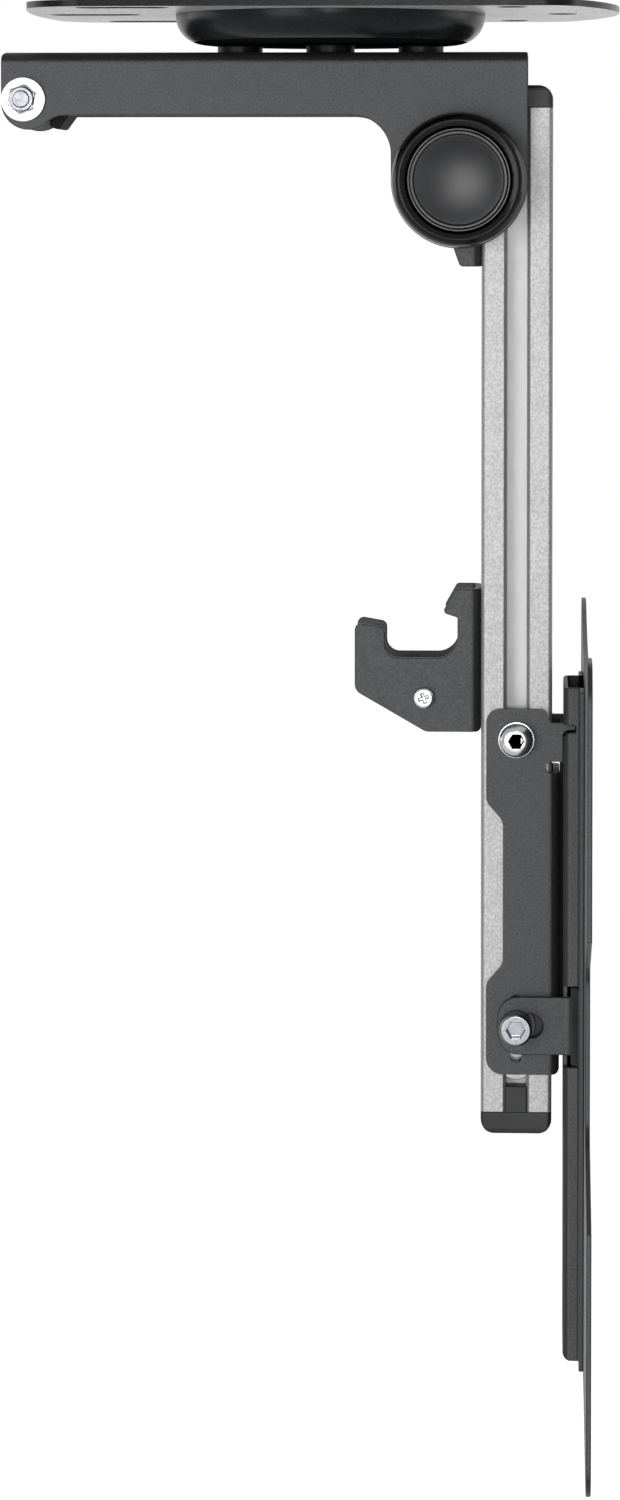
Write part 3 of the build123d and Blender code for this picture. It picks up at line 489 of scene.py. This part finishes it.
def is_flat(face):
    """Whether a face is a flat of the part and not one facet of a curve."""
    area = face.calc_area()
    if area < FLAT_AREA:
        return False
    for edge in face.edges:
        for other in edge.link_faces:
            turn = face.normal.angle(other.normal, 0.0)
            if other is not face and FACET_TURN[0] < turn < FACET_TURN[1]:
                if other.calc_area() > FACET_SHARE * area:
                    return False
    return True


def corner_normals(work):
    """Normal of each face corner: flats stay flat, rounded strips blend into them."""
    work.normal_update()
    flats = {face.index for face in work.faces if is_flat(face)}
    summed = [Vector((0.0, 0.0, 0.0)) for vert in work.verts]
    for face in work.faces:
        share = face.normal * face.calc_area()
        for vert in face.verts:
            summed[vert.index] += share
    normals = []
    for face in work.faces:
        for vert in face.verts:
            if face.index in flats or summed[vert.index].length == 0.0:
                normals.append(face.normal.copy())
            else:
                normals.append(summed[vert.index].normalized())
    return normals


def softened(node, material, width):
    """Copy of a solid with its hard edges rounded, in the solid's place."""
    source = frame["nodes"][node]
    work = bmesh.new()
    work.from_mesh(source.data)
    bmesh.ops.remove_doubles(work, verts=work.verts, dist=MERGE_DISTANCE)
    bmesh.ops.dissolve_limit(
        work, angle_limit=radians(MERGE_ANGLE), verts=work.verts, edges=work.edges
    )
    skin = BVHTree.FromBMesh(work)
    hard = radians(HARD_EDGE_ANGLE)
    edges = [e for e in work.edges if e.is_manifold and e.calc_face_angle(0.0) > hard]
    bmesh.ops.bevel(
        work, geom=edges, offset=width, offset_type="OFFSET", segments=EDGE_SEGMENTS,
        profile=EDGE_PROFILE, affect="EDGES", clamp_overlap=False,
    )
    for vert in work.verts:
        spot, _, _, distance = skin.find_nearest(vert.co)
        if distance > STRAY_SHARE * width:
            vert.co = spot
    work.faces.index_update()
    work.verts.index_update()
    normals = corner_normals(work)
    for face in work.faces:
        face.smooth = True
    piece = add_piece(node + "_soft", work, material)
    piece.data.normals_split_custom_set(normals)
    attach(piece, BODY_OF[node])
    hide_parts(node)
    return piece


def darken_dome_floor(piece, material):
    """Dull finish with near-black painted shade for the dome's flat floor, which faces the arm.
    """
    mesh = piece.data
    mesh.materials.append(material)
    for polygon in mesh.polygons:
        if polygon.center.z < DOME_FLOOR and polygon.normal.z < DOME_FLOOR_FACING:
            polygon.material_index = 1


def dress_nodes(materials):
    """Give every solid its finish, and all but those kept as built their rounded edges."""
    for node, obj in frame["nodes"].items():
        kind = MATERIAL_OF[node]
        paint(obj, materials[kind])
        if node not in KEPT_AS_BUILT:
            piece = softened(node, materials[kind], EDGE_OF[kind])
            if node == "ceiling_plate":
                darken_dome_floor(piece, materials["dome_floor"])


def thread_turns(name, node, material, start, end, radius, pitch):
    """Raised thread on a bolt's bare end, wound from start to end."""
    start, end = Vector(start), Vector(end)
    along = end - start
    length = along.length
    along.normalize()
    side = along.orthogonal().normalized()
    across = along.cross(side)
    rows = int(length / pitch * THREAD_ROWS_PER_TURN) + 1
    work = bmesh.new()
    grid = []
    for row in range(rows + 1):
        distance = length * row / rows
        ring = []
        for step in range(THREAD_STEPS):
            angle = 2 * pi * step / THREAD_STEPS
            phase = (distance / pitch - step / THREAD_STEPS) % 1.0
            crest = 1 - abs(2 * phase - 1)
            fade = min(1.0, (length - distance) / pitch, distance / pitch + THREAD_START)
            reach = radius - THREAD_ROOT + THREAD_HEIGHT * crest * fade
            ring.append(work.verts.new(
                start + along * distance + (side * cos(angle) + across * sin(angle)) * reach
            ))
        grid.append(ring)
    for low, high in zip(grid, grid[1:]):
        for step in range(THREAD_STEPS):
            following = (step + 1) % THREAD_STEPS
            work.faces.new((low[step], low[following], high[following], high[step]))
    work.faces.new(reversed(grid[0]))
    work.faces.new(grid[-1])
    bmesh.ops.recalc_face_normals(work, faces=work.faces)
    piece = add_piece(name, work, material)
    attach(piece, BODY_OF[node])


def make_threads(material):
    """Threads of the front bolt and the swivel bolt, from the nut to the bolt's tip."""
    low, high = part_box("front_bolt")
    nut_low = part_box("front_nut")[0]
    middle = (Vector(low) + Vector(high)) / 2
    thread_turns(
        "front_bolt_thread", "front_bolt", material,
        (middle.x, nut_low[1] + THREAD_INSET, middle.z),
        (middle.x, low[1] + THREAD_INSET, middle.z),
        *FRONT_THREAD,
    )
    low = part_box("swivel_bolt")[0]
    nut_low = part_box("swivel_nut")[0]
    thread_turns(
        "swivel_bolt_thread", "swivel_bolt", material,
        (0, 0, nut_low[2] + THREAD_INSET), (0, 0, low[2] + SWIVEL_TIP_INSET),
        *SWIVEL_THREAD,
    )


def spine_shade_strip(material):
    """Thin dark strip on the spine's face, above the bracket's rubber pad: a sheet of painted
    shade in the gap between bracket and spine.
    """
    work = bmesh.new()
    bmesh.ops.create_cube(work, size=1.0)
    for vert in work.verts:
        vert.co.x = SPINE_FACE - SHADE_STRIP_THICKNESS / 2 + vert.co.x * SHADE_STRIP_THICKNESS
        vert.co.y *= 2 * SHADE_STRIP_HALF_WIDTH
        vert.co.z = (SHADE_STRIP_TOP + SHADE_STRIP_BOTTOM) / 2 + vert.co.z * (SHADE_STRIP_TOP - SHADE_STRIP_BOTTOM)
    bmesh.ops.bevel(
        work, geom=work.edges[:], offset=SHADE_STRIP_EDGE, segments=EDGE_SEGMENTS,
        profile=EDGE_PROFILE, affect="EDGES",
    )
    piece = add_piece("spine_shade_strip", work, material)
    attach(piece, BODY_OF["spine_channel"])


# Floor, world, lamps and camera

def make_stage():
    """Pale floor below the part; it shows white to the camera."""
    half = FLOOR_SIZE / 2
    mesh = bpy.data.meshes.new("floor")
    corners = [(-half, -half), (half, -half), (half, half), (-half, half)]
    mesh.from_pydata([(x, y, FLOOR_LEVEL) for x, y in corners], [], [(0, 1, 2, 3)])
    floor = add_object("floor", mesh)
    material, tree, shader = new_material("floor_paint", FLOOR, FLOOR_ROUGHNESS)
    tone = toned(tree, noise(tree, *FLOOR_MOTTLE), FLOOR, FLOOR_TONES)
    tree.links.new(tone, shader.inputs["Base Color"])
    glow = tree.nodes.new("ShaderNodeEmission")
    tree.links.new(seen_ray(tree, FLOOR_GLOW), glow.inputs["Strength"])
    both = tree.nodes.new("ShaderNodeAddShader")
    tree.links.new(shader.outputs["BSDF"], both.inputs[0])
    tree.links.new(glow.outputs["Emission"], both.inputs[1])
    tree.links.new(both.outputs["Shader"], tree.nodes["Material Output"].inputs["Surface"])
    floor.data.materials.append(material)


def white_background(tree, strength):
    node = tree.nodes.new("ShaderNodeBackground")
    node.inputs["Color"].default_value = (*WHITE, 1.0)
    node.inputs["Strength"].default_value = strength
    return node.outputs["Background"]


def make_world():
    """Soft light all round, which the camera and reflections see as white."""
    world = bpy.data.worlds.new("studio")
    bpy.context.scene.world = world
    world.use_nodes = True
    tree = world.node_tree
    tree.nodes.clear()
    mix = tree.nodes.new("ShaderNodeMixShader")
    tree.links.new(seen_ray(tree, 1.0), mix.inputs["Fac"])
    tree.links.new(white_background(tree, WORLD_LEVEL), mix.inputs[1])
    tree.links.new(white_background(tree, WORLD_SEEN), mix.inputs[2])
    output = tree.nodes.new("ShaderNodeOutputWorld")
    tree.links.new(mix.outputs["Shader"], output.inputs["Surface"])


def make_lights():
    for name, place, size, watts in LAMPS:
        data = bpy.data.lights.new(name, "AREA")
        data.shape = "RECTANGLE"
        data.size, data.size_y = size
        data.energy = watts
        lamp = add_object(name, data)
        lamp.location = place
        direction = Vector(LAMP_TARGET) - Vector(place)
        lamp.rotation_euler = direction.to_track_quat("-Z", "Y").to_euler()


def make_camera():
    """Camera at the photo's viewing point, turned a little so that the shift stays small."""
    data = bpy.data.cameras.new("camera")
    data.sensor_fit = "AUTO"
    data.sensor_width = SENSOR
    data.lens = FOCAL_PIXELS / FRAME_HEIGHT * SENSOR
    data.shift_x, data.shift_y = (shift / FRAME_HEIGHT for shift in SHIFT_PIXELS)
    data.clip_start, data.clip_end = CAMERA_CLIP
    camera = add_object("camera", data)
    camera.location = CAMERA_PLACE
    camera.rotation_euler = (radians(90 - CAMERA_DOWN), 0, radians(CAMERA_TURN))
    bpy.context.scene.camera = camera


bpy.context.scene.view_settings.view_transform = "Standard"
make_camera()
make_world()
make_stage()
make_lights()
finishes = make_materials()
dress_nodes(finishes)
make_threads(finishes["steel"])
# Painted shade: a dark sheet on the spine where the gap by the bracket lies in shade
spine_shade_strip(finishes["rubber"])
